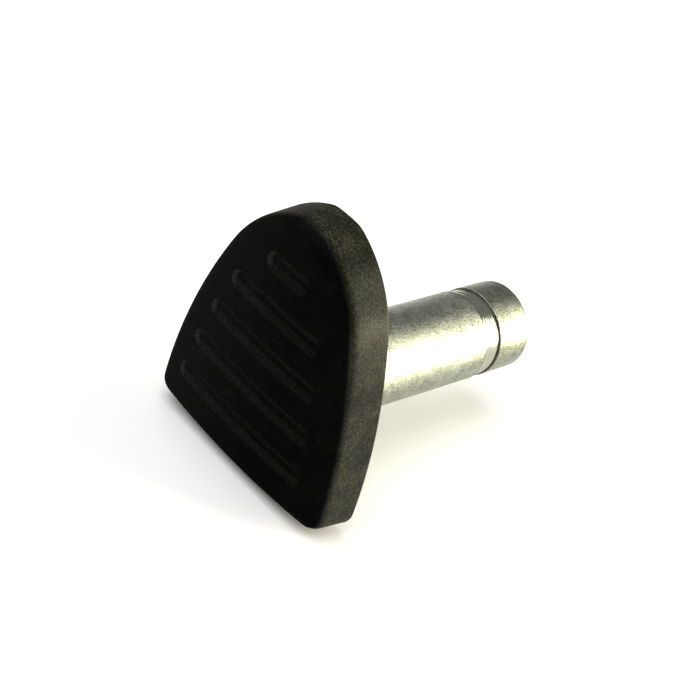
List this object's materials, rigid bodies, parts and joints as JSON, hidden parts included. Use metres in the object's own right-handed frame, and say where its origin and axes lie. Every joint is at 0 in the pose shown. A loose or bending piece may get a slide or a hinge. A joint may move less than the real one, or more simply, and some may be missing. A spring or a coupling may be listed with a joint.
{
  "type": "push button with locking pin",
  "caption": "Shield-shaped plastic thumb button with recessed finger slots, moulded onto a plain steel locking pin that has a shallow ring groove near its free end.",
  "frame": {"origin": "centre of the pin at the button's back face", "axes": "+Y along the pin towards its free end, so the thumb face looks along -Y; +Z towards the button's nose; X across the button"},
  "size_m": [0.0266, 0.0378, 0.0304],
  "materials": {
    "button_plastic": "fine-textured black moulding",
    "pin_steel": "dull zinc plate over turned steel"
  },
  "bodies": {
    "root": {"thumb_button": "button_plastic", "lock_pin": "pin_steel"}
  },
  "joints": []
}
